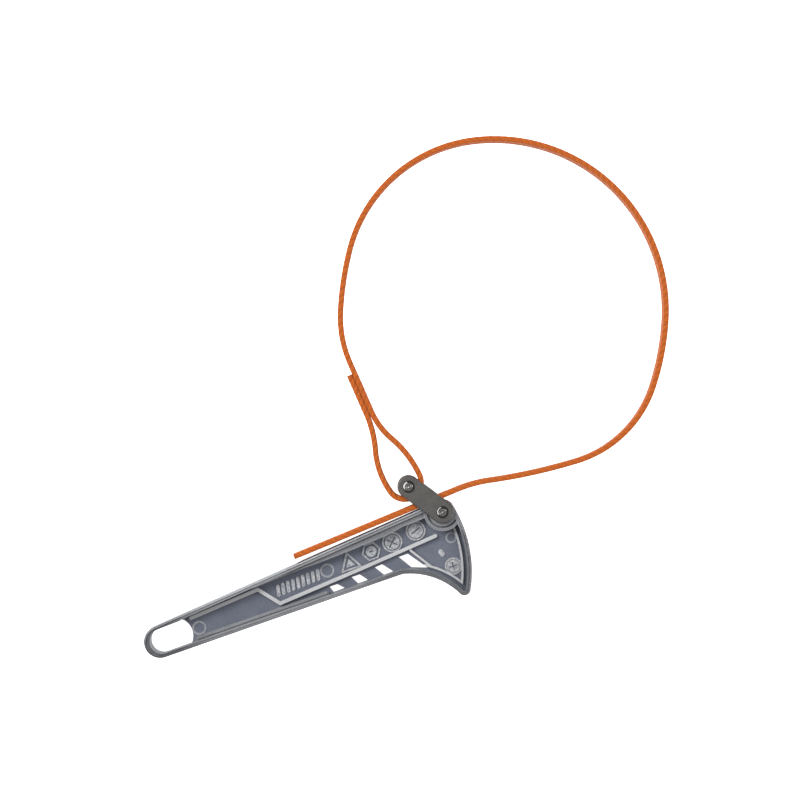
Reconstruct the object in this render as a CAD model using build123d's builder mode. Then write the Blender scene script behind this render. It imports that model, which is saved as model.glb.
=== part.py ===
from build123d import *
from math import atan2, cos, degrees, hypot, pi, radians, sin
import os

# Strap wrench for oil filters, lying on its side.
# Origin: centre of the strap loop's gripping arc, at mid width.
# +X runs along the handle towards its head, +Y from the handle to the far side
# of the loop, +Z is the side that faces up. All lengths are in millimetres.

# Driving dimensions: webbing
strap_width = 22.0
strap_thickness = 2.5
strap_half = strap_thickness / 2
span_gap = 0.35  # slit between two spans where the webbing bends
grip_radius = 77.0  # middle of the webbing's thickness
grip_start = 78.0  # polar angle where the gripping arc begins, in degrees
grip_turn = -100.25
shoulder = (79.0, -69.0)  # each stretch is its length and its turn to the left
flank = (28.2, -11.4)
knee = (23.8, -26.6)
lap_free = 5.0  # single webbing between the last hinge line and the sewn lap
lap_length = 18.5
lap_spacing = strap_thickness - 0.05  # sewn layers press into each other
inner_parting = (15.8, 26.1)
outer_parting = (17.5, -19.2)
loop_centre = (-63.04, -60.1)  # the loose turn round the eye pin
loop_radius = 7.59
stitch_rows = 6
stitch_count = 6
stitch_length = 2.1
stitch_pitch = 2.8
stitch_width = 0.7
stitch_height = 0.35
heel_out = (30.0, -14.63)
heel_in = (49.63, -54.93)
floor_stretch = (40.06, -8.75)
entry_stretch = (15.0, 14.32)
lead_in = 11.0  # straight webbing before the joint between the link plates
tail_length = 68.5

# Driving dimensions: link
pivot = (-51.0, -78.2)
eye_axis = (-61.8, -62.6)
plate_radius = 5.0
plate_thickness = 2.5
plate_edge = 0.5
plate_sink = 0.35  # chamfer of each pin hole, on the outer face
plate_inner = strap_width / 2 + 0.4
plate_outer = plate_inner + plate_thickness
pin_radius = 2.4
pin_strip = 0.62  # spring steel that each pin is rolled from
pin_gap = 0.2
pin_chamfer = 0.45  # round the pin's ends
pin_recess = 0.15  # pin ends below the plates' outer faces

# Driving dimensions: handle casting
casting_half = strap_width / 2
overrun = 1.0  # how far cuts run past the casting's faces
casting_reach = 200.0  # more than the casting's length
web_half = 2.6
ledge_half = 9.0
rib_half = 5.0
relief_half = 3.3
ejector_half = 3.0
rim = 2.0
rim_groove = (0.95, 1.5)  # fine groove on the rim: its two insets
rim_groove_depth = 0.7
bore_clearance = 0.05
ring_centre = (-189.6, -92.7)
ring_radius = 7.3
ring_back_way = 185.0  # polar angles on the ring, in degrees
ring_bottom_way = 270.0
belly_end = (-77.0, -98.8)  # lower edge of the handle, where the heel begins
heel_bend = (-64.8, -104.3)
heel_end = (-55.6, -114.9)
tip_bottom = (-52.9, -116.9)
tip_front = (-50.3, -115.4)
front_bulge = (-44.1, -89.0)
front_end = (-45.8, -76.0)
boss_radius = 6.2
crown = (-51.5, -72.77)  # where the upper edge meets the head
spine_normal = 95.4
rim_edge = 0.8
hang_upper_left = (-188.4, -87.1)
hang_upper_right = (-177.2, -86.6)
hang_back = (-194.2, -92.7)
hang_lower_left = (-188.4, -98.2)
hang_lower_right = (-176.8, -98.0)
hang_front = (-174.6, -92.8)
hang_corner = 1.6
recess_left = -178.0
brace = [(-173.4, -87.2), (-140.8, -84.6), (-133.2, -93.8), (-91.8, -90.5), (-57.5, -87.4)]
brace_width = 1.5
lower_rib = ((-173.0, -96.4), (-112.0, -95.8))
lower_rib_width = 0.9
lower_shelf = ((-173.0, -97.2), (-112.0, -96.6))
lower_shelf_width = 1.8
gusset = ((-70.2, -90.0), (-63.6, -100.0))
panel_inset = 3.8  # rib that borders the head's triangular panel
panel_width = 0.9
panel_left = -66.5
ledge = [(-143, -83.4), (-120, -82.1), (-109, -81.9), (-95, -81.2), (-77, -80.0), (-70, -78.6), (-58, -78.0),
         (-58, -70), (-143, -79)]
ledge_groove = ((-126.0, -82.0), (-62.0, -76.2))
ledge_groove_width = 0.6
ledge_groove_depth = 0.9
collar_radius = 8.5
collar_half = casting_half - 0.7
groove_half = 8.0
groove_width = 1.1
windows = [
    [(-109.9, -93.9), (-106.2, -93.9), (-103.6, -96.6), (-108.9, -96.7)],
    [(-99.2, -93.0), (-95.3, -93.0), (-92.6, -96.5), (-97.2, -96.6)],
    [(-87.9, -92.2), (-84.3, -91.9), (-80.6, -96.5), (-85.0, -96.6)],
    [(-76.2, -91.2), (-71.9, -91.1), (-65.4, -99.9), (-72.2, -97.4)],
]
mark_line = 0.6
ejector_rings = [((-171.3, -92.6), 3.1), ((-108.6, -86.6), 3.1), ((-51.0, -90.4), 2.5)]
mark_rings = [((-76.8, -83.9), 4.5), ((-65.2, -82.4), 4.4), ((-54.2, -102.9), 3.8)]
mark_discs = [((-87.1, -84.8), 2.3), ((-76.8, -83.9), 3.3), ((-65.2, -82.4), 3.2), ((-54.2, -102.9), 2.9)]
mark_slots = [((-78.6, -85.7), (-75.0, -82.1)), ((-78.6, -82.1), (-75.0, -85.7)),
              ((-67.2, -83.2), (-63.2, -81.6)), ((-87.9, -84.8), (-86.3, -84.8)),
              ((-55.8, -102.9), (-52.6, -102.9)), ((-54.2, -104.5), (-54.2, -101.3))]
mark_slot_width = 0.75
hexagon_centre = (-87.1, -84.8)
hexagon_radius = 4.4
triangle_centre = (-97.9, -87.0)
triangle_radius = 5.6
triangle_pad = 2.2
pad_count = 9
pad_start = (-132.6, -90.0)
pad_pitch = 2.4
pad_slope = 0.055
pad_lean = 0.7
pad_height = 3.7
pad_width = 1.4
pip = ((-57.6, -94.9), (-57.1, -96.3))
pip_width = 1.9


def advance(pose, length, turn):
    """The pose (x, y, heading) after an arc of this length that turns left by turn."""
    x, y, heading = pose
    half = radians(turn) / 2
    chord = length * sin(half) / half if turn else length
    way = radians(heading) + half
    return x + chord * cos(way), y + chord * sin(way), heading + turn


def travel(pose, spans):
    for length, turn in spans:
        pose = advance(pose, length, turn)
    return pose


def reverse(pose):
    return pose[0], pose[1], pose[2] + 180


def beside(pose, side):
    """The point that lies to the left of a pose."""
    angle = radians(pose[2])
    return pose[0] - side * sin(angle), pose[1] + side * cos(angle)


def shortened(spans, at_start, at_end):
    """The spans without a little of their first and last arcs, at the same bends."""
    spans = list(spans)
    for index, cut in ((0, at_start), (-1, at_end)):
        length, turn = spans[index]
        spans[index] = (length - cut, turn * (length - cut) / length)
    return spans


def onto_circle(pose, centre, radius, side):
    """The arc (length, turn) from a pose that runs onto a circle; side is 1 for left."""
    nx, ny = -side * sin(radians(pose[2])), side * cos(radians(pose[2]))
    ax, ay = pose[0] - centre[0], pose[1] - centre[1]
    bend = (radius**2 - ax**2 - ay**2) / (2 * (nx * ax + ny * ay + radius))
    ox, oy = pose[0] + bend * nx, pose[1] + bend * ny
    towards = atan2(centre[1] - oy, centre[0] - ox)
    turn = (degrees(towards) - degrees(atan2(-ny, -nx))) * side % 360
    return radians(turn) * bend, turn * side


def draw_band(pose, spans, half):
    """Draws the outline of webbing seen on its edge, along the spans."""
    for side in (half, -half):
        here = pose
        for length, turn in spans:
            middle = advance(here, length / 2, turn / 2)
            there = advance(here, length, turn)
            if turn:
                ThreePointArc(beside(here, side), beside(middle, side), beside(there, side))
            else:
                Line(beside(here, side), beside(there, side))
            here = there
    for end in (pose, here):
        Line(beside(end, half), beside(end, -half))


def on_axis(centre, radius, angle):
    return centre[0] + radius * cos(radians(angle)), centre[1] + radius * sin(radians(angle))


# Route of the webbing, from the gripping arc back to the eye and on to the tail
grip_pose = (*on_axis((0, 0), grip_radius, grip_start), grip_start - 90)
grip_length = radians(-grip_turn) * grip_radius
back_up = [(length, -turn) for length, turn in (shoulder, flank, knee)]
knee_pose = reverse(travel(reverse(grip_pose), back_up))
half_shoulder = (shoulder[0] / 2, shoulder[1] / 2)
half_heel = (heel_in[0] / 2, heel_in[1] / 2)
grip_third = (grip_length / 3, grip_turn / 3)
strap_spans = {
    "strap_span_knee": [knee],
    "strap_span_flank": [flank],
    "strap_span_shoulder": [half_shoulder],
    "strap_span_crown": [half_shoulder],
    "strap_span_grip_top": [grip_third],
    "strap_span_grip_middle": [grip_third],
    "strap_span_grip_bottom": [grip_third],
    "strap_span_heel": [heel_out, half_heel],
    "strap_span_floor": [half_heel, floor_stretch],
    "strap_span_entry": [entry_stretch, (lead_in, 0)],
}

# Webbing spans between the sewn eye and the link
span_parts = {}
span_pose = knee_pose
for name, spans in strap_spans.items():
    trimmed = shortened(spans, span_gap / 2, span_gap / 2)
    start = advance(span_pose, span_gap / 2, spans[0][1] * span_gap / 2 / spans[0][0])
    with BuildPart() as span:
        with BuildSketch(Plane.XY):
            with BuildLine():
                draw_band(start, trimmed, strap_half)
            make_face()
        extrude(amount=strap_width / 2, both=True)
    span_parts[name] = span.part
    span_pose = travel(span_pose, spans)
junction = span_pose

# Sewn eye: two layers at the lap, parting into a teardrop round the eye pin
lap_top = reverse(knee_pose)
inner_start = advance(lap_top, span_gap / 2, 0)
inner_lap = (lap_free + lap_length - span_gap / 2, 0)
inner_foot = travel(inner_start, [inner_lap, inner_parting])
inner_fall = onto_circle(inner_foot, loop_centre, loop_radius, -1)
wrap_start = advance(inner_foot, *inner_fall)
cut_end = advance(lap_top, lap_free, 0)
outer_start = (*beside(cut_end, -lap_spacing), cut_end[2])
outer_foot = travel(outer_start, [(lap_length, 0), outer_parting])
outer_fall = onto_circle(outer_foot, loop_centre, loop_radius, 1)
wrap_end = advance(outer_foot, *outer_fall)
wrap_turn = (wrap_start[2] - wrap_end[2] - 180) % 360
half_wrap = (radians(wrap_turn / 2) * loop_radius, wrap_turn / 2)
inner_layer = [inner_lap, inner_parting, inner_fall, (half_wrap[0], -half_wrap[1])]
outer_layer = [(lap_length, 0), outer_parting, outer_fall, half_wrap]

with BuildPart() as strap_eye:
    with BuildSketch(Plane.XY):
        with BuildLine():
            draw_band(inner_start, inner_layer, strap_half)
        make_face()
        with BuildLine():
            draw_band(outer_start, outer_layer, strap_half)
        make_face()
    extrude(amount=strap_width / 2, both=True)

# Thread rows that hold the lap, on the outer faces of both layers
with BuildPart() as lap_stitching:
    for edge_pose, side in ((cut_end, 1), (outer_start, -1)):
        face = Plane(
            origin=(*beside(travel(edge_pose, [(lap_length / 2, 0)]), side * strap_half), 0),
            x_dir=(cos(radians(edge_pose[2])), sin(radians(edge_pose[2])), 0),
            z_dir=(-side * sin(radians(edge_pose[2])), side * cos(radians(edge_pose[2])), 0),
        )
        with BuildSketch(face):
            with GridLocations(stitch_pitch, strap_width / stitch_rows, stitch_count, stitch_rows):
                SlotOverall(stitch_length, stitch_width)
        extrude(amount=stitch_height)

# Free tail: from the joint between the link plates, over the handle's head
with BuildPart() as strap_tail:
    with BuildSketch(Plane.XY):
        with BuildLine():
            draw_band(advance(junction, span_gap / 2, 0), [(tail_length, 0)], strap_half)
        make_face()
    extrude(amount=strap_width / 2, both=True)


# Link plates and the coiled spring pins that are pressed into them
link_turn = degrees(atan2(eye_axis[1] - pivot[1], eye_axis[0] - pivot[0]))
link_length = hypot(eye_axis[0] - pivot[0], eye_axis[1] - pivot[1])
link_middle = ((pivot[0] + eye_axis[0]) / 2, (pivot[1] + eye_axis[1]) / 2)


def link_plane(level):
    return Plane(origin=(*link_middle, level), x_dir=(*on_axis((0, 0), 1, link_turn), 0))


with BuildPart() as front_link_plate:
    with BuildSketch(link_plane(plate_inner)):
        SlotCenterToCenter(link_length, 2 * plate_radius)
        with Locations((link_length / 2, 0), (-link_length / 2, 0)):
            Circle(pin_radius, mode=Mode.SUBTRACT)
    extrude(amount=plate_thickness)
    outer_face = front_link_plate.faces().sort_by(Axis.Z)[-1]
    fillet(outer_face.outer_wire().edges(), plate_edge)
    outer_face = front_link_plate.faces().sort_by(Axis.Z)[-1]
    for hole in outer_face.inner_wires():
        chamfer(hole.edges(), plate_sink)

with BuildPart() as rear_link_plate:
    add(front_link_plate.part)
    mirror(about=Plane.XY, mode=Mode.REPLACE)


def roll_pin(centre):
    """A pin rolled from strip in half turns that close in: its first pose and its arcs."""
    radius = pin_radius - pin_strip / 2
    start = (centre[0], centre[1] + radius, 0.0)
    turns = []
    while radius > (pin_strip + pin_gap) / 2:
        turns.append((pi * radius, -180.0))
        radius -= (pin_strip + pin_gap) / 2
    return start, turns


# The round body with chamfered ends that each pin fills
pin_half = plate_outer - pin_recess
with BuildPart() as pin_envelope:
    with BuildSketch(Plane.XY):
        Circle(pin_radius)
    extrude(amount=pin_half, both=True)
    chamfer(pin_envelope.edges().filter_by(Plane.XY), pin_chamfer)

pins = {}
for name, centre in (("pivot_pin", pivot), ("eye_pin", eye_axis)):
    start, turns = roll_pin(centre)
    with BuildPart() as pin:
        with BuildSketch(Plane.XY):
            with BuildLine():
                draw_band(start, turns, pin_strip / 2)
            make_face()
        extrude(amount=pin_half, both=True)
        add(pin_envelope.part.moved(Location((*centre, 0))), mode=Mode.INTERSECT)
    pins[name] = pin.part


# Handle casting: its outline, seen from above
with BuildSketch(Plane.XY) as outline:
    with BuildLine():
        ring_top = on_axis(ring_centre, ring_radius, spine_normal)
        ring_back = on_axis(ring_centre, ring_radius, ring_back_way)
        ring_bottom = on_axis(ring_centre, ring_radius, ring_bottom_way)
        spine_way = (crown[0] - ring_top[0], crown[1] - ring_top[1])
        Line(ring_bottom, belly_end)
        ThreePointArc(belly_end, heel_bend, heel_end)
        ThreePointArc(heel_end, tip_bottom, tip_front)
        ThreePointArc(tip_front, front_bulge, front_end)
        TangentArc(crown, front_end, tangent=spine_way)
        Line(crown, ring_top)
        ThreePointArc(ring_top, ring_back, ring_bottom)
    make_face()


def inset(distance):
    """The casting's outline, drawn that far inside its edge."""
    return offset(outline.sketch, amount=-distance, mode=Mode.PRIVATE)


def disc(centre, radius, mode=Mode.ADD):
    with Locations(centre):
        Circle(radius, mode=mode)


def ring_band(centre, outer, inner):
    with Locations(centre):
        Circle(outer)
        Circle(inner, mode=Mode.SUBTRACT)


def bar(first, last, width, mode=Mode.ADD):
    """A straight rib with round ends, or a slot cut to that shape."""
    middle = ((first[0] + last[0]) / 2, (first[1] + last[1]) / 2)
    run, rise = last[0] - first[0], last[1] - first[1]
    with Locations(Location((*middle, 0), (0, 0, degrees(atan2(rise, run))))):
        SlotCenterToCenter(hypot(run, rise), width, mode=mode)


def cut_left_of(limit):
    """Takes what lies to the left of limit out of the open sketch."""
    with Locations((limit - casting_reach / 2, ring_centre[1])):
        Rectangle(casting_reach, casting_reach, mode=Mode.SUBTRACT)


# What the casting leaves standing in its recess, from the web up to each level
with BuildPart() as standing:
    with BuildSketch(Plane.XY.offset(web_half)):
        for first, last in zip(brace[:-1], brace[1:]):
            bar(first, last, brace_width)
        bar(*gusset, lower_rib_width)
    extrude(amount=rib_half - web_half)
    with BuildSketch(Plane.XY.offset(web_half)):
        add(inset(panel_inset))
        add(inset(panel_inset + panel_width), mode=Mode.SUBTRACT)
        cut_left_of(panel_left)
    extrude(amount=rib_half - web_half)
    with BuildSketch(Plane.XY.offset(web_half)):
        with BuildLine():
            Polyline(*ledge, close=True)
        make_face()
        bar(*lower_rib, lower_rib_width)
    extrude(amount=ledge_half - web_half)
    with BuildSketch(Plane.XY.offset(web_half)):
        bar(*lower_shelf, lower_shelf_width)
    extrude(amount=ledge_half - ledge_groove_depth - web_half)
    with BuildSketch(Plane.XY.offset(ledge_half - ledge_groove_depth)):
        bar(*ledge_groove, ledge_groove_width)
    extrude(amount=ledge_groove_depth, mode=Mode.SUBTRACT)
    with BuildSketch(Plane.XY.offset(web_half)):
        disc(pivot, collar_radius)
    extrude(amount=collar_half - web_half)
    with BuildSketch(Plane.XY.offset(web_half)):
        disc(pivot, boss_radius)
    extrude(amount=casting_half + overrun - web_half)

# One side's recess, which both sides of the web have
with BuildPart() as recess:
    with BuildSketch(Plane.XY.offset(web_half)):
        add(inset(rim))
        cut_left_of(recess_left)
    extrude(amount=casting_half + overrun - web_half)
    add(standing.part, mode=Mode.SUBTRACT)
    with BuildSketch(Plane.XY.offset(groove_half)):
        ring_band(pivot, boss_radius + groove_width, boss_radius)
        add(inset(rim), mode=Mode.INTERSECT)
    extrude(amount=casting_half + overrun - groove_half)
    with BuildSketch(Plane.XY.offset(casting_half - rim_groove_depth)):
        add(inset(rim_groove[0]))
        add(inset(rim_groove[1]), mode=Mode.SUBTRACT)
        disc(pivot, collar_radius, mode=Mode.SUBTRACT)
    extrude(amount=rim_groove_depth + overrun)

# Plain raised marks on the web of the front side
with BuildPart() as marks:
    with BuildSketch(Plane.XY.offset(web_half)):
        for centre, radius in ejector_rings:
            ring_band(centre, radius, radius - mark_line)
    extrude(amount=ejector_half - web_half)
    with BuildSketch(Plane.XY.offset(web_half)):
        for centre, radius in mark_rings:
            ring_band(centre, radius, radius - mark_line)
        for centre, radius in mark_discs:
            disc(centre, radius)
        for first, last in mark_slots:
            bar(first, last, mark_slot_width, mode=Mode.SUBTRACT)
        with Locations(triangle_centre):
            RegularPolygon(triangle_radius, 3, rotation=90)
            RegularPolygon(triangle_radius - 2 * mark_line, 3, rotation=90, mode=Mode.SUBTRACT)
            RegularPolygon(triangle_pad, 3, rotation=90)
        for step in range(pad_count):
            at = (pad_start[0] + step * pad_pitch, pad_start[1] + step * pad_pitch * pad_slope)
            bar(at, (at[0] + pad_lean, at[1] + pad_height), pad_width)
        bar(*pip, pip_width)
    extrude(amount=relief_half - web_half)
    with BuildSketch(Plane.XY.offset(web_half)):
        with Locations(hexagon_centre):
            RegularPolygon(hexagon_radius, 6)
            RegularPolygon(hexagon_radius - mark_line, 6, mode=Mode.SUBTRACT)
    extrude(amount=relief_half - web_half)

# Handle: die-cast body with an open web between rims, a hang loop and a cam head
with BuildPart() as handle:
    add(outline.sketch)
    extrude(amount=casting_half, both=True)
    fillet(handle.edges().filter_by(Plane.XY), rim_edge)
    add(recess.part, mode=Mode.SUBTRACT)
    add(mirror(recess.part, about=Plane.XY, mode=Mode.PRIVATE), mode=Mode.SUBTRACT)
    add(marks.part)
    with BuildSketch(Plane.XY):
        for corners in windows:
            with BuildLine():
                Polyline(*corners, close=True)
            make_face()
    extrude(amount=casting_half, both=True, mode=Mode.SUBTRACT)
    with BuildSketch(Plane.XY):
        with BuildLine():
            Polyline(hang_upper_right, hang_upper_left)
            ThreePointArc(hang_upper_left, hang_back, hang_lower_left)
            Line(hang_lower_left, hang_lower_right)
            ThreePointArc(hang_lower_right, hang_front, hang_upper_right)
        make_face()
        fillet(vertices().sort_by(Axis.X)[-2:], hang_corner)
    extrude(amount=casting_half, both=True, mode=Mode.SUBTRACT)
    with BuildSketch(Plane.XY):
        disc(pivot, pin_radius + bore_clearance)
    extrude(amount=casting_half, both=True, mode=Mode.SUBTRACT)

pieces = {
    "handle": handle.part,
    "front_link_plate": front_link_plate.part,
    "rear_link_plate": rear_link_plate.part,
    **pins,
    "strap_eye": strap_eye.part,
    "lap_stitching": lap_stitching.part,
    **span_parts,
    "strap_tail": strap_tail.part,
}
os.makedirs("parts", exist_ok=True)
for name, piece in pieces.items():
    piece.label = name
    export_step(piece, f"parts/{name}.step")
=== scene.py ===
from math import atan2, ceil, cos, degrees, pi, radians, sin

import bpy
import numpy as np
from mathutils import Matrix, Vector


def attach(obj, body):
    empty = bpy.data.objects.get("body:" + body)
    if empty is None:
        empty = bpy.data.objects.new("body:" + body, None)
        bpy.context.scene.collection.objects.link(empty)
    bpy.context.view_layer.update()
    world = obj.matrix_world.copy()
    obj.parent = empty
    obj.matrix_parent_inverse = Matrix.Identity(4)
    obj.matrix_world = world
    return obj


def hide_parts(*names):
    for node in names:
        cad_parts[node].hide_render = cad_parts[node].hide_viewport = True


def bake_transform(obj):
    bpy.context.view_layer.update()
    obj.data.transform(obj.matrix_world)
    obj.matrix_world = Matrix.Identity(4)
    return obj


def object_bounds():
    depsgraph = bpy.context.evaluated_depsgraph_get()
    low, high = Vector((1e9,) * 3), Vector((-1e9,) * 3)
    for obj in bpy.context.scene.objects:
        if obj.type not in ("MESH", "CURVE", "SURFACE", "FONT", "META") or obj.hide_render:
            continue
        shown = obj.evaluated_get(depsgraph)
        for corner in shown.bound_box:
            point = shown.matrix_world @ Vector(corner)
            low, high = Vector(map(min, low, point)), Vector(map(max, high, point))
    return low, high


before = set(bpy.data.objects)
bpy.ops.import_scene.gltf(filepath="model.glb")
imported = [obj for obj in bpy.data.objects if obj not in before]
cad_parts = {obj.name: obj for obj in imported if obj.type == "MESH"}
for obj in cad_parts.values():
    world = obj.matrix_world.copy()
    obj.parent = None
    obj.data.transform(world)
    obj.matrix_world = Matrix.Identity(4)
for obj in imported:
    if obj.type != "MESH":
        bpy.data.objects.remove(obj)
cad_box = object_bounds()

# ---------------------------------------------------------------- webbing sizes, in metres
# A pair is one arc of the route: its length, and its turn to the left in degrees
STRAP_WIDTH = 0.022
STRAP_THICKNESS = 0.0025
GRIP_RADIUS = 0.077
GRIP_START = 78.0
GRIP_TURN = -100.25
SHOULDER = (0.079, -69.0)
FLANK = (0.0282, -11.4)
KNEE = (0.0238, -26.6)
LAP_FREE = 0.005
LAP_LENGTH = 0.0185
LAP_SPACING = STRAP_THICKNESS - 0.00005  # the sewn layers press into each other a little
INNER_PARTING = (0.0158, 26.1)
OUTER_PARTING = (0.0175, -19.2)
HEEL_OUT = (0.0300, -14.63)
HEEL_IN = (0.04963, -54.93)
FLOOR_STRETCH = (0.04006, -8.75)
ENTRY_STRETCH = (0.0150, 14.32)
LEAD_IN = 0.0110
TAIL_LENGTH = 0.0685
LOOP_CENTRE = (-0.06304, -0.0601)  # the loose turn round the eye pin
LOOP_RADIUS = 0.00759

PICK = 0.0016  # one weft pick along the webbing
WARP_COLUMNS = 12  # warp bundles across the webbing
MELT = 0.0014  # how far the hot cut has fused the yarns
SELVAGE_PITCH = 0.0032  # one cord of the woven edge
SELVAGE_SLANT = 0.0030  # how far a cord leans along the webbing from face to face


# ---------------------------------------------------------------- the webbing's route
def advance(pose, length, turn):
    """The pose (x, y, heading) after an arc of this length that turns left by turn."""
    x, y, heading = pose
    half = radians(turn) / 2
    chord = length * sin(half) / half if turn else length
    way = radians(heading) + half
    return x + chord * cos(way), y + chord * sin(way), heading + turn


def travel(pose, spans):
    for length, turn in spans:
        pose = advance(pose, length, turn)
    return pose


def reverse(pose):
    return pose[0], pose[1], pose[2] + 180


def beside(pose, side):
    """The point that lies to the left of a pose."""
    angle = radians(pose[2])
    return pose[0] - side * sin(angle), pose[1] + side * cos(angle)


def onto_circle(pose, centre, radius, side):
    """The arc from a pose that runs onto a circle; side is 1 for left."""
    nx, ny = -side * sin(radians(pose[2])), side * cos(radians(pose[2]))
    ax, ay = pose[0] - centre[0], pose[1] - centre[1]
    bend = (radius**2 - ax**2 - ay**2) / (2 * (nx * ax + ny * ay + radius))
    ox, oy = pose[0] + bend * nx, pose[1] + bend * ny
    towards = atan2(centre[1] - oy, centre[0] - ox)
    turn = (degrees(towards) - degrees(atan2(-ny, -nx))) * side % 360
    return radians(turn) * bend, turn * side


def pose_at(start, spans, distance):
    """The pose that far along the spans."""
    for length, turn in spans:
        if distance <= length:
            return advance(start, distance, turn * distance / length)
        start = advance(start, length, turn)
        distance -= length
    return advance(start, distance, 0)


def total(spans):
    return sum(length for length, _ in spans)


grip_pose = (
    GRIP_RADIUS * cos(radians(GRIP_START)),
    GRIP_RADIUS * sin(radians(GRIP_START)),
    GRIP_START - 90,
)
grip_length = radians(-GRIP_TURN) * GRIP_RADIUS
back_up = [(length, -turn) for length, turn in (SHOULDER, FLANK, KNEE)]
knee_pose = reverse(travel(reverse(grip_pose), back_up))
half_shoulder = (SHOULDER[0] / 2, SHOULDER[1] / 2)
half_heel = (HEEL_IN[0] / 2, HEEL_IN[1] / 2)
grip_third = (grip_length / 3, GRIP_TURN / 3)
SPANS = {
    "strap_span_knee": [KNEE],
    "strap_span_flank": [FLANK],
    "strap_span_shoulder": [half_shoulder],
    "strap_span_crown": [half_shoulder],
    "strap_span_grip_top": [grip_third],
    "strap_span_grip_middle": [grip_third],
    "strap_span_grip_bottom": [grip_third],
    "strap_span_heel": [HEEL_OUT, half_heel],
    "strap_span_floor": [half_heel, FLOOR_STRETCH],
    "strap_span_entry": [ENTRY_STRETCH, (LEAD_IN, 0)],
}

lap_top = reverse(knee_pose)
inner_lap = (LAP_FREE + LAP_LENGTH, 0)
inner_foot = travel(lap_top, [inner_lap, INNER_PARTING])
inner_fall = onto_circle(inner_foot, LOOP_CENTRE, LOOP_RADIUS, -1)
wrap_start = advance(inner_foot, *inner_fall)
cut_end = advance(lap_top, LAP_FREE, 0)
outer_start = (*beside(cut_end, -LAP_SPACING), cut_end[2])
outer_foot = travel(outer_start, [(LAP_LENGTH, 0), OUTER_PARTING])
outer_fall = onto_circle(outer_foot, LOOP_CENTRE, LOOP_RADIUS, 1)
wrap_end = advance(outer_foot, *outer_fall)
wrap_turn = (wrap_start[2] - wrap_end[2] - 180) % 360
wrap = (radians(wrap_turn) * LOOP_RADIUS, -wrap_turn)
# The eye as one run of webbing: down the inner layer, round the pin and up the outer layer
outer_back = [(length, -turn) for length, turn in (outer_fall, OUTER_PARTING, (LAP_LENGTH, 0))]
eye_run = [inner_lap, INNER_PARTING, inner_fall, wrap, *outer_back]


# ---------------------------------------------------------------- helpers for meshes
def tube_faces(base, steps, count):
    """The faces of a closed tube: rings of count points from base on, and its two end caps last."""
    faces = []
    for k in range(base, base + steps * count, count):
        for i in range(count):
            j = (i + 1) % count
            faces.append((k + i, k + count + i, k + count + j, k + j))
    faces.append(tuple(base + i for i in range(count)))
    faces.append(tuple(base + steps * count + i for i in reversed(range(count))))
    return faces


def mesh_object(name, points, faces, smooth=True):
    mesh = bpy.data.meshes.new(name)
    mesh.from_pydata(points, [], faces)
    mesh.validate()
    mesh.update()
    mesh.polygons.foreach_set("use_smooth", [smooth] * len(mesh.polygons))
    obj = bpy.data.objects.new(name, mesh)
    bpy.context.scene.collection.objects.link(obj)
    return obj


ALONG_STEP = PICK / 4
FACE_POINTS = 49  # points across each face of the section
EDGE_POINTS = 11  # and round each selvage
CROWN = 0.16e-3  # height of the yarns over the ground of the weave
SELVAGE_HEIGHT = 0.7 * CROWN  # height of a face where it meets the selvage
CORD_REACH = 0.00048  # how far the selvage stands out past the faces, between its cords
CORD_SWELL = 0.00040  # and how much further on a cord
HALF_FACE = STRAP_WIDTH / 2 - 0.0009  # leaves room for the selvage


def cross_section():
    """Points round the webbing's section: (across -1..1, side, edge angle) for each."""
    ring = []
    for i in range(FACE_POINTS):
        ring.append((1 - 2 * i / (FACE_POINTS - 1), 1, 0.0))
    for i in range(1, EDGE_POINTS + 1):
        ring.append((-1.0, 0, 180 * i / (EDGE_POINTS + 1)))
    for i in range(FACE_POINTS):
        ring.append((-1 + 2 * i / (FACE_POINTS - 1), -1, 0.0))
    for i in range(1, EDGE_POINTS + 1):
        ring.append((1.0, 0, 180 * i / (EDGE_POINTS + 1)))
    return ring


RING = cross_section()


def weave(s, across, side):
    """Height of the face's yarns over the ground weave, from 0 to 1."""
    column = (across + 1) / 2 * WARP_COLUMNS
    index = min(int(column), WARP_COLUMNS - 1)
    within = column - index
    # each warp bundle floats over two picks and dives under two, a step later than its neighbour
    shift = index if index < WARP_COLUMNS / 2 else WARP_COLUMNS - 1 - index
    phase = s / (4 * PICK) - shift / 4 + (0.5 if side < 0 else 0.0)
    dive = 0.5 + 0.5 * cos(2 * pi * phase)
    bundle = sin(pi * within) ** 0.6
    return bundle * (0.35 + 0.65 * dive)


def section_point(s, across, side, angle):
    """(offset to the left, height z) of a section point, at that distance along."""
    ground = STRAP_THICKNESS / 2 - CROWN
    if side:
        lift = weave(s, across, side)
        taper = min(1.0, (1 - abs(across)) * 9)
        offset = side * (ground + CROWN * lift * taper + SELVAGE_HEIGHT * (1 - taper))
        return offset, across * HALF_FACE
    # the selvage: the weft turns round the edge in slanted cords, one to two picks
    turn = radians(angle)
    way = -1 if across < 0 else 1
    slant = (angle - 90) / 180 * SELVAGE_SLANT
    cord = abs(cos(pi * (s + way * slant) / SELVAGE_PITCH)) ** 0.7
    bulge = CORD_REACH + CORD_SWELL * cord
    shoulder = ground + SELVAGE_HEIGHT
    offset = cos(turn) * shoulder * (1 if across < 0 else -1)
    return offset, way * (HALF_FACE + sin(turn) ** 0.5 * bulge)


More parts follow.
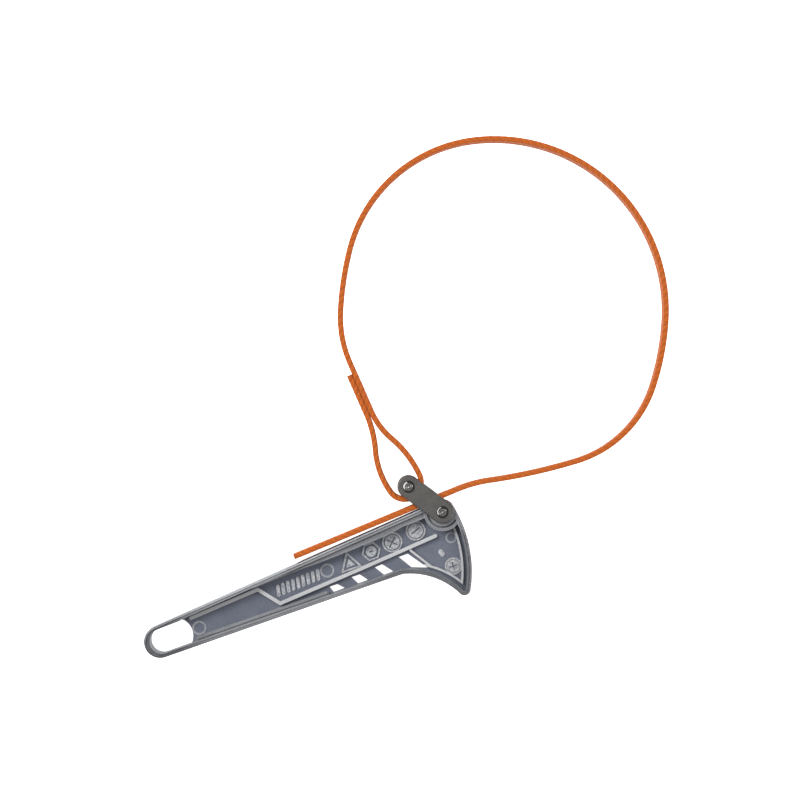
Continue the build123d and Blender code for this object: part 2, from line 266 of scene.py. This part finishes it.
def webbing(name, start, spans, first, last, origin, cut=False):
    """A closed run of webbing from first to last along the spans; its weave is counted from origin.
    A cut run ends where the strap was cut off hot."""
    steps = max(2, ceil((last - first) / ALONG_STEP))
    points = []
    # what the material reads: place along and across, place round the edge, melting, yarn height
    layers = {key: [] for key in ("along", "across", "edge", "melted", "yarn")}
    for k in range(steps + 1):
        distance = first + (last - first) * k / steps
        pose = pose_at(start, spans, distance)
        counted = distance + origin
        melted = max(0.0, 1 - (last + origin - counted) / MELT) if cut else 0.0
        for across, side, angle in RING:
            offset, z = section_point(counted, across, side, angle)
            points.append((*beside(pose, offset), z))
            layers["along"].append(counted)
            layers["across"].append(across)
            layers["edge"].append(angle / 180)
            layers["melted"].append(melted)
            layers["yarn"].append(weave(counted, across, side) if side else 1.0)
    count = len(RING)
    obj = mesh_object(name, points, tube_faces(0, steps, count))
    mesh = obj.data
    mesh.materials.append(orange)
    for face in list(mesh.polygons)[-2:]:
        face.use_smooth = False
    # sharp end rims keep the shading even where two runs of webbing meet
    ends = np.zeros(2 * len(mesh.edges), np.int32)
    mesh.edges.foreach_get("vertices", ends)
    ends = ends.reshape(-1, 2)
    rims = (ends < count).all(axis=1) | (ends >= steps * count).all(axis=1)
    mesh.edges.foreach_set("use_edge_sharp", rims)
    for key, values in layers.items():
        attribute = mesh.attributes.new(key, "FLOAT", "POINT")
        attribute.data.foreach_set("value", values)
    return obj


# ---------------------------------------------------------------- materials
class Nodes:
    """A small builder for a node material."""

    def __init__(self, name):
        self.material = bpy.data.materials.new(name)
        self.material.use_nodes = True
        self.tree = self.material.node_tree
        self.tree.nodes.clear()
        self.shader = self.add("BsdfPrincipled")
        self.put(self.add("OutputMaterial").inputs["Surface"], self.shader.outputs[0])

    def add(self, kind, **settings):
        node = self.tree.nodes.new("ShaderNode" + kind)
        for key, value in settings.items():
            setattr(node, key, value)
        return node

    def put(self, socket, value):
        """Link the socket to another socket, or set it to a plain value."""
        if isinstance(value, bpy.types.NodeSocket):
            self.tree.links.new(value, socket)
        else:
            socket.default_value = value

    def math(self, operation, a, b=0.0, c=0.0, clamp=False):
        node = self.add("Math", operation=operation, use_clamp=clamp)
        for socket, value in zip(node.inputs, (a, b, c)):
            self.put(socket, value)
        return node.outputs[0]

    def ramp(self, fac, stops):
        """A colour ramp through (place, colour) stops; a plain number is a grey."""
        node = self.add("ValToRGB")
        while len(node.color_ramp.elements) < len(stops):
            node.color_ramp.elements.new(0.5)
        for element, (place, colour) in zip(node.color_ramp.elements, stops):
            element.position = place
            red, green, blue = colour if isinstance(colour, tuple) else (colour,) * 3
            element.color = (red, green, blue, 1)
        self.put(node.inputs[0], fac)
        return node.outputs[0]

    def mix(self, fac, a, b, mode="MIX"):
        """Colour a, turning to colour b as fac goes from 0 to 1."""
        node = self.add("Mix", data_type="RGBA", blend_type=mode)
        self.put(node.inputs[0], fac)
        for index, value in ((6, a), (7, b)):
            self.put(node.inputs[index], (*value, 1) if isinstance(value, tuple) else value)
        return node.outputs[2]

    def rise(self, low, value, width):
        """0 while value is below low, and 1 once it is above low by width."""
        return self.math("DIVIDE", self.math("SUBTRACT", value, low), width, clamp=True)

    def noise(self, vector, scale, detail=4.0, rough=0.55):
        node = self.add("TexNoise")
        self.put(node.inputs["Vector"], vector)
        node.inputs["Scale"].default_value = scale
        node.inputs["Detail"].default_value = detail
        node.inputs["Roughness"].default_value = rough
        return node.outputs["Fac"]

    def place(self):
        return self.add("TexCoord").outputs["Object"]

    def bump(self, height, strength, distance):
        node = self.add("Bump")
        node.inputs["Strength"].default_value = strength
        node.inputs["Distance"].default_value = distance
        self.put(node.inputs["Height"], height)
        return node.outputs[0]

    def attribute(self, name):
        return self.add("Attribute", attribute_name=name).outputs["Fac"]

    def edge(self, radius):
        """1 on convex edges within radius, 0 elsewhere."""
        bevel = self.add("Bevel", samples=4)
        bevel.inputs["Radius"].default_value = radius
        dot = self.add("VectorMath", operation="DOT_PRODUCT")
        self.put(dot.inputs[0], bevel.outputs[0])
        self.put(dot.inputs[1], self.add("NewGeometry").outputs["Normal"])
        return self.math("SUBTRACT", 1.0, dot.outputs["Value"], clamp=True)


def webbing_material():
    m = Nodes("orange_webbing")
    along = m.attribute("along")
    across = m.attribute("across")
    edge = m.attribute("edge")
    place = m.place()
    # fine filaments in the yarns: along the strap on its faces, along the slanted cords on its edges
    on_edge = m.math("GREATER_THAN", edge, 0.001)
    lean = m.math("MULTIPLY", m.math("SUBTRACT", edge, 0.5), SELVAGE_SLANT)
    cord_run = m.math("MULTIPLY_ADD", m.math("SIGN", across), lean, along)
    stretch = m.add("CombineXYZ")
    for socket, value, scale in zip(stretch.inputs, (along, across, cord_run), (900.0, 260.0, 3200.0)):
        m.put(socket, m.math("MULTIPLY", value, scale))
    filament = m.noise(stretch.outputs[0], 1.0, 3.0, 0.6)
    blotch = m.noise(place, 90.0, 3.0, 0.5)
    soil = m.noise(place, 900.0, 4.0, 0.65)
    pick = m.math("SINE", m.math("MULTIPLY", along, 2 * pi / PICK))
    pick = m.math("MULTIPLY_ADD", pick, 0.5, 0.5)
    column = m.math("MULTIPLY", m.math("ADD", across, 1.0), pi * WARP_COLUMNS / 2)
    column = m.math("ABSOLUTE", m.math("SINE", column))
    column_gap_shade = m.ramp(column, [(0.0, 1.0), (0.42, 0.0)])
    cord = m.math("ABSOLUTE", m.math("COSINE", m.math("MULTIPLY", cord_run, pi / SELVAGE_PITCH)))
    deep = (0.25, 0.045, 0.0035)
    base = (0.375, 0.079, 0.0060)
    light = (0.475, 0.128, 0.0150)
    colour = m.ramp(filament, [(0.30, deep), (0.50, base), (0.74, light)])
    colour = m.mix(m.math("MULTIPLY", blotch, 0.35), colour, (0.38, 0.080, 0.0065))
    colour = m.mix(m.math("MULTIPLY", pick, 0.22), colour, deep)
    on_face = m.math("SUBTRACT", 1.0, on_edge)
    yarn = m.attribute("yarn")
    # painted shade: the colour darkens where the weave's yarns dip low
    dip_shade = m.ramp(yarn, [(0.10, 0.75), (0.62, 0.0)])
    colour = m.mix(dip_shade, colour, (0.20, 0.044, 0.009))
    # painted shade in the gaps between the warp bundles on the faces
    column_gap_shade = m.math("MULTIPLY", m.math("MULTIPLY", column_gap_shade, on_face), 0.55)
    colour = m.mix(column_gap_shade, colour, (0.17, 0.036, 0.008))
    # painted shade in the grooves between the selvage cords
    cord_gap_shade = m.ramp(cord, [(0.05, 1.0), (0.62, 0.0)])
    cord_gap_shade = m.math("MULTIPLY", m.math("MULTIPLY", cord_gap_shade, on_edge), 0.45)
    colour = m.mix(cord_gap_shade, colour, (0.20, 0.050, 0.018))
    colour = m.mix(m.ramp(soil, [(0.55, 0.0), (0.80, 0.45)]), colour, (0.22, 0.070, 0.035))
    melted = m.attribute("melted")
    colour = m.mix(m.math("MULTIPLY", melted, 0.8), colour, (0.20, 0.042, 0.010))
    m.put(m.shader.inputs["Base Color"], colour)
    rough = m.math("MULTIPLY_ADD", filament, 0.25, 0.60)
    rough = m.math("MULTIPLY_ADD", melted, -0.25, rough)
    m.put(m.shader.inputs["Roughness"], rough)
    m.shader.inputs["Specular IOR Level"].default_value = 0.20
    m.shader.inputs["Sheen Weight"].default_value = 0.07
    m.shader.inputs["Sheen Roughness"].default_value = 0.4
    m.shader.inputs["Sheen Tint"].default_value = (1.0, 0.72, 0.50, 1.0)
    height = m.math("ADD", m.math("MULTIPLY", filament, 0.7), m.math("MULTIPLY", pick, 0.3))
    height = m.math("MULTIPLY_ADD", m.math("MULTIPLY", cord, on_edge), 1.2, height)
    height = m.math("MULTIPLY_ADD", m.math("MULTIPLY", yarn, on_face), 0.8, height)
    m.put(m.shader.inputs["Normal"], m.bump(height, 0.6, 0.00014))
    return m.material


# Places along the handle where its rims turn dull: towards the hang loop, and towards the head
LOOP_DULL = -0.162
LOOP_DULL_FADE = 0.021
HEAD_DULL = -0.100
HEAD_DULL_FADE = 0.014
# The rims above this, round the boss, are rubbed by the link
BOSS_FOOT = -0.0865
BOSS_FOOT_FADE = 0.005
# Heights over the handle's middle plane that part its levels
RELIEF_FOOT = 0.0028
MARK_TOP = 0.0040
LEDGE_FOOT = 0.0054


def cast_material():
    m = Nodes("cast_aluminium")
    place = m.place()
    grain = m.noise(place, 2600.0, 5.0, 0.62)
    cloud = m.noise(place, 85.0, 4.0, 0.55)
    flow = m.add("Mapping")
    m.put(flow.inputs["Vector"], place)
    flow.inputs["Rotation"].default_value = (0, 0, radians(-5.4))
    flow.inputs["Scale"].default_value = (30.0, 420.0, 120.0)
    streak = m.noise(flow.outputs[0], 1.0, 4.0, 0.6)
    split = m.add("SeparateXYZ")
    m.put(split.inputs[0], place)
    height = m.math("ABSOLUTE", split.outputs[2])
    # painted light by height: the web's dull grey-blue is a painted reflection and painted shade in
    # the recess; marks and ribs are painted bright, partly rubbed wear and partly a painted highlight;
    # ledge and rims are mid grey
    web_painted_reflection = m.mix(cloud, (0.106, 0.118, 0.150), (0.172, 0.186, 0.228))
    rubbed = m.mix(streak, (0.35, 0.355, 0.37), (0.53, 0.53, 0.535))
    rims = m.mix(streak, (0.125, 0.131, 0.145), (0.275, 0.281, 0.293))
    # a hand rubs the rims along the grip; round the hang loop and on the head's nose they stay dull
    by_loop = m.rise(split.outputs[0], LOOP_DULL, LOOP_DULL_FADE)
    on_head = m.rise(HEAD_DULL, split.outputs[0], HEAD_DULL_FADE)
    below = m.rise(split.outputs[1], BOSS_FOOT, BOSS_FOOT_FADE)
    on_nose = m.math("MULTIPLY", m.math("MULTIPLY", on_head, below), 0.7)
    dull = m.math("MAXIMUM", by_loop, on_nose)
    dull_rims = m.mix(streak, (0.060, 0.062, 0.068), (0.130, 0.134, 0.143))
    rims = m.mix(dull, rims, dull_rims)
    on_relief = m.rise(RELIEF_FOOT, height, 0.0004)
    on_ledge = m.rise(LEDGE_FOOT, height, 0.0010)
    # the low marks are worn in patches; the ribs above them are painted evenly bright, partly rubbed
    # wear and partly a painted highlight
    patches = m.ramp(m.noise(place, 1100.0, 3.0, 0.6), [(0.42, 0.0), (0.58, 0.80)])
    on_mark = m.math("LESS_THAN", height, MARK_TOP)
    colour = m.mix(m.math("MULTIPLY", patches, on_mark), rubbed, (0.20, 0.21, 0.235))
    colour = m.mix(on_relief, web_painted_reflection, colour)
    colour = m.mix(on_ledge, colour, rims)
    # walls, inside and out, keep the plain as-cast grey
    facing = m.add("SeparateXYZ")
    m.put(facing.inputs[0], m.add("NewGeometry").outputs["True Normal"])
    level = m.math("GREATER_THAN", m.math("ABSOLUTE", facing.outputs[2]), 0.35)
    walls = m.mix(cloud, (0.170, 0.177, 0.195), (0.285, 0.292, 0.310))
    colour = m.mix(level, walls, colour)
    speck = m.ramp(grain, [(0.34, (0.66, 0.66, 0.68)), (0.6, (1.0, 1.0, 1.0))])
    colour = m.mix(0.8, colour, speck, "MULTIPLY")
    # painted shade: the base colour darkens in the corners of the recess, where ambient occlusion is
    # low
    hollow = m.add("AmbientOcclusion", samples=6)
    hollow.inputs["Distance"].default_value = 0.0022
    corner_shade = m.ramp(hollow.outputs["AO"], [(0.30, 1.0), (0.80, 0.0)])
    colour = m.mix(m.math("MULTIPLY", corner_shade, 0.15), colour, (0.060, 0.062, 0.070))
    # convex edges are painted bright: partly rubbed wear, partly a painted highlight
    worn_edge_and_highlight = m.math("MULTIPLY", m.edge(0.0005), 9.0, clamp=True)
    worn_edge_and_highlight = m.math("MULTIPLY", worn_edge_and_highlight, m.math("MULTIPLY_ADD", cloud, 0.9, 0.25))
    kept = m.math("MULTIPLY_ADD", m.math("MULTIPLY", dull, on_ledge), -0.70, 1.0)
    worn_edge_and_highlight = m.math("MULTIPLY", worn_edge_and_highlight, kept)
    colour = m.mix(m.math("MULTIPLY", worn_edge_and_highlight, 0.60, clamp=True), colour, (0.62, 0.62, 0.63))
    m.put(m.shader.inputs["Base Color"], colour)
    m.shader.inputs["Metallic"].default_value = 0.80
    rough = m.math("MULTIPLY_ADD", grain, 0.22, m.math("MULTIPLY_ADD", on_ledge, -0.10, 0.42))
    m.put(m.shader.inputs["Roughness"], rough)
    bumps = m.math("ADD", m.math("MULTIPLY", grain, 0.6), m.math("MULTIPLY", streak, 0.5))
    m.put(m.shader.inputs["Normal"], m.bump(bumps, 0.40, 0.00025))
    return m.material


def plate_material():
    m = Nodes("link_plate_steel")
    place = m.place()
    grain = m.noise(place, 3000.0, 5.0, 0.6)
    cloud = m.noise(place, 240.0, 4.0, 0.6)
    flow = m.add("Mapping")
    m.put(flow.inputs["Vector"], place)
    flow.inputs["Rotation"].default_value = (0, 0, radians(55.0))
    flow.inputs["Scale"].default_value = (220.0, 2600.0, 900.0)
    brush = m.noise(flow.outputs[0], 1.0, 3.0, 0.6)
    rim = m.math("MULTIPLY", m.edge(0.0005), 7.0, clamp=True)
    colour = m.mix(cloud, (0.052, 0.050, 0.048), (0.104, 0.100, 0.095))
    colour = m.mix(m.math("MULTIPLY", brush, 0.45), colour, (0.15, 0.146, 0.138))
    pits = m.ramp(m.noise(place, 1400.0, 4.0, 0.7), [(0.36, 0.55), (0.50, 0.0)])
    colour = m.mix(pits, colour, (0.055, 0.052, 0.048))
    colour = m.mix(m.math("MULTIPLY", rim, 0.7), colour, (0.040, 0.038, 0.036))
    m.put(m.shader.inputs["Base Color"], colour)
    m.shader.inputs["Metallic"].default_value = 0.9
    m.put(m.shader.inputs["Roughness"], m.math("MULTIPLY_ADD", grain, 0.2, 0.36))
    bumps = m.math("ADD", m.math("MULTIPLY", grain, 0.5), m.math("MULTIPLY", brush, 0.6))
    m.put(m.shader.inputs["Normal"], m.bump(bumps, 0.4, 0.0002))
    return m.material


def pin_material():
    m = Nodes("spring_pin_steel")
    place = m.place()
    grain = m.noise(place, 3500.0, 4.0, 0.6)
    cloud = m.noise(place, 500.0, 3.0, 0.5)
    # flat end faces are rubbed bright; chamfers and sides stay dark; the slit between the turns is
    # darkened with painted shade
    facing = m.add("SeparateXYZ")
    m.put(facing.inputs[0], m.add("NewGeometry").outputs["Normal"])
    flat = m.math("GREATER_THAN", m.math("ABSOLUTE", facing.outputs[2]), 0.97)
    slit_shade = m.add("AmbientOcclusion", samples=6)
    slit_shade.inputs["Distance"].default_value = 0.0004
    inside_rim = m.math("SUBTRACT", 1.0, m.math("MULTIPLY", m.edge(0.00022), 3.0, clamp=True))
    rubbed = m.math("MULTIPLY", flat, inside_rim)
    dark = m.mix(cloud, (0.045, 0.043, 0.040), (0.085, 0.082, 0.077))
    bright = m.mix(cloud, (0.100, 0.098, 0.095), (0.190, 0.187, 0.181))
    colour = m.mix(rubbed, dark, bright)
    # painted shade: darker where ambient occlusion is low, in the slit between the turns
    colour = m.mix(m.math("SUBTRACT", 1.0, slit_shade.outputs["AO"]), colour, (0.03, 0.029, 0.027))
    m.put(m.shader.inputs["Base Color"], colour)
    m.shader.inputs["Metallic"].default_value = 0.90
    m.put(m.shader.inputs["Roughness"], m.math("MULTIPLY_ADD", grain, 0.2, 0.30))
    m.put(m.shader.inputs["Normal"], m.bump(grain, 0.25, 0.0001))
    return m.material


def thread_material():
    m = Nodes("sewing_thread")
    place = m.place()
    twist = m.add("TexWave", wave_type="BANDS", bands_direction="DIAGONAL")
    m.put(twist.inputs["Vector"], place)
    twist.inputs["Scale"].default_value = 900.0
    twist.inputs["Distortion"].default_value = 1.5
    fibre = m.noise(place, 5000.0, 2.0, 0.5)
    colour = m.mix(twist.outputs["Fac"], (0.42, 0.10, 0.02), (0.70, 0.22, 0.05))
    colour = m.mix(m.math("MULTIPLY", fibre, 0.3), colour, (0.80, 0.30, 0.08))
    m.put(m.shader.inputs["Base Color"], colour)
    m.put(m.shader.inputs["Roughness"], m.math("MULTIPLY_ADD", fibre, 0.2, 0.5))
    m.shader.inputs["Sheen Weight"].default_value = 0.2
    m.put(m.shader.inputs["Normal"], m.bump(twist.outputs["Fac"], 0.5, 0.0001))
    return m.material


def paint(node, material):
    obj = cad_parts[node]
    if not obj.data.materials:
        obj.data.materials.append(material)
    for slot in obj.material_slots:
        slot.material = material


orange = webbing_material()
paint("handle", cast_material())
plate_steel = plate_material()
for name in ("front_link_plate", "rear_link_plate"):
    paint(name, plate_steel)
pin_steel = pin_material()
for name in ("pivot_pin", "eye_pin"):
    paint(name, pin_steel)
thread = thread_material()


# ---------------------------------------------------------------- webbing pieces
def nearest_crest(distance):
    """The nearest place where the weave repeats, every four picks."""
    return round(distance / (4 * PICK)) * 4 * PICK


names = list(SPANS)
route = [arc for spans in SPANS.values() for arc in spans]
# How far along the route each span starts and ends, and the crest near each span's middle
ends, run = [0.0], 0.0
for spans in SPANS.values():
    run += total(spans)
    ends.append(run)
cuts = [nearest_crest((a + b) / 2) for a, b in zip(ends[:-1], ends[1:])]


BLEND_REACH = 0.010  # how far to either side of each hinge a pose is taken; those poses are not used
EYE_BLEND = 0.004  # and above the eye's lap; that pose is not used either
ENTRY_OVERRUN = 0.0005  # the entry runs on a little into the tail
for i in range(1, len(names)):
    before, after = names[i - 1], names[i]
    name = after.replace("strap_span", "webbing")
    piece = webbing(name, knee_pose, route, cuts[i - 1], cuts[i], 0.0)
    start = pose_at(knee_pose, route, ends[i] - BLEND_REACH)
    finish = pose_at(knee_pose, route, ends[i] + BLEND_REACH)
    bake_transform(piece)
    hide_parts(after)

# The last half of the entry span, which ends between the link plates
piece = webbing("webbing_entry_end", knee_pose, route, cuts[-1], ends[-1] + ENTRY_OVERRUN, 0.0)
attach(piece, "strap_span_entry")
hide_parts("strap_span_entry")

# The tail, from between the link plates to its cut end over the handle
junction = travel(knee_pose, route)
piece = webbing("webbing_tail", junction, [(TAIL_LENGTH, 0)], 0.0, TAIL_LENGTH, ends[-1], cut=True)
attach(piece, "strap_tail")
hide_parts("strap_tail")

# The sewn eye, and the webbing above it up to the middle of the knee span
eye_route = [(KNEE[0], -KNEE[1]), *eye_run]
eye_start = travel(knee_pose, [KNEE])
piece = webbing(
    "webbing_eye",
    reverse(eye_start),
    eye_route,
    KNEE[0] - cuts[0],
    KNEE[0] + total(eye_run),
    2 * PICK - KNEE[0],
    cut=True,
)
top = pose_at(knee_pose, route, EYE_BLEND)
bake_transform(piece)
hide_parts("strap_eye", "strap_span_knee")

# ---------------------------------------------------------------- sewn lap: thread rows
STITCH_ROWS = 6
STITCH_COUNT = 6
STITCH_PITCH = 0.0028
STITCH_LENGTH = 0.0020
STITCH_SLANT = 0.0005
THREAD_RADIUS = 0.00021
THREAD_SINK = 0.00033  # how far a stitch's ends dip into the webbing
THREAD_RISE = 0.00022  # and how much its middle stands above them
THREAD_RINGS = 9
THREAD_SIDES = 8


def stitch_points(edge_pose, side, middle, z):
    """The rings of one stitch, whose middle lies that far from the lap's edge."""
    points = []
    for r in range(THREAD_RINGS):
        t = r / (THREAD_RINGS - 1)
        rise = sin(pi * t)
        pose = advance(edge_pose, middle + (t - 0.5) * STITCH_LENGTH, 0)
        offset = STRAP_THICKNESS / 2 - THREAD_SINK + THREAD_RISE * rise
        girth = THREAD_RADIUS * (0.55 + 0.45 * rise)
        slant = (t - 0.5) * STITCH_SLANT
        for q in range(THREAD_SIDES):
            angle = 2 * pi * q / THREAD_SIDES
            x, y = beside(pose, side * (offset + girth * cos(angle)))
            points.append((x, y, z + slant + girth * sin(angle)))
    return points


def stitch_rows():
    """Every stitch of the lap, on both of its faces."""
    points, faces = [], []
    for edge_pose, side in ((cut_end, 1), (outer_start, -1)):
        for row in range(STITCH_ROWS):
            z = (row - (STITCH_ROWS - 1) / 2) * STRAP_WIDTH / STITCH_ROWS
            for k in range(STITCH_COUNT):
                middle = LAP_LENGTH / 2 + (k - (STITCH_COUNT - 1) / 2) * STITCH_PITCH
                faces += tube_faces(len(points), THREAD_RINGS - 1, THREAD_SIDES)
                points += stitch_points(edge_pose, side, middle, z)
    return mesh_object("lap_thread", points, faces)


stitches = stitch_rows()
stitches.data.materials.append(thread)
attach(stitches, "strap_eye")
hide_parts("lap_stitching")

# ---------------------------------------------------------------- studio
FLOOR_Z = cad_box[0].z - 0.0002
FLOOR_REACH = 3.0
SOFTBOX_SIZE = 1.2
LIGHT_AIM = Vector((-0.05, 0.0, 0.0))


def floor_material():
    m = Nodes("studio_floor")
    place = m.place()
    tooth = m.noise(place, 900.0, 3.0, 0.5)
    m.shader.inputs["Base Color"].default_value = (0.96, 0.96, 0.96, 1.0)
    m.put(m.shader.inputs["Roughness"], m.math("MULTIPLY_ADD", tooth, 0.1, 0.85))
    m.shader.inputs["Specular IOR Level"].default_value = 0.1
    m.shader.inputs["Emission Color"].default_value = (1.0, 1.0, 1.0, 1.0)
    m.shader.inputs["Emission Strength"].default_value = 0.95
    return m.material


floor = mesh_object(
    "studio_floor",
    [(x * FLOOR_REACH, y * FLOOR_REACH, FLOOR_Z) for x, y in ((-1, -1), (1, -1), (1, 1), (-1, 1))],
    [(0, 1, 2, 3)],
    smooth=False,
)
floor.data.materials.append(floor_material())


def softbox(name, location, power):
    data = bpy.data.lights.new(name, "AREA")
    data.shape = "RECTANGLE"
    data.size = data.size_y = SOFTBOX_SIZE
    data.energy = power
    obj = bpy.data.objects.new(name, data)
    obj.location = location
    obj.rotation_euler = (LIGHT_AIM - Vector(location)).to_track_quat("-Z", "Y").to_euler()
    bpy.context.scene.collection.objects.link(obj)


softbox("key_softbox", (-0.9, 1.0, 1.6), 52.0)
softbox("fill_softbox", (1.2, -0.8, 1.3), 16.0)

world = bpy.data.worlds.new("studio_world")
world.use_nodes = True
background = world.node_tree.nodes["Background"]
background.inputs["Color"].default_value = (1.0, 1.0, 1.0, 1.0)
background.inputs["Strength"].default_value = 0.60
bpy.context.scene.world = world
bpy.context.scene.view_settings.view_transform = "Standard"

# ---------------------------------------------------------------- camera
VIEW_CENTRE = (-0.0530, -0.0245)
VIEW_HEIGHT = 2.4
VIEW_TURN = -18.7  # the object lies turned in the picture
VIEW_WIDTH = 0.36
SENSOR_WIDTH = 36.0
camera_data = bpy.data.cameras.new("camera")
camera_data.sensor_width = SENSOR_WIDTH
camera_data.lens = SENSOR_WIDTH * VIEW_HEIGHT / VIEW_WIDTH
camera_data.clip_start = 0.05
camera = bpy.data.objects.new("camera", camera_data)
camera.location = (*VIEW_CENTRE, VIEW_HEIGHT)
camera.rotation_euler = (0.0, 0.0, radians(VIEW_TURN))
bpy.context.scene.collection.objects.link(camera)
bpy.context.scene.camera = camera
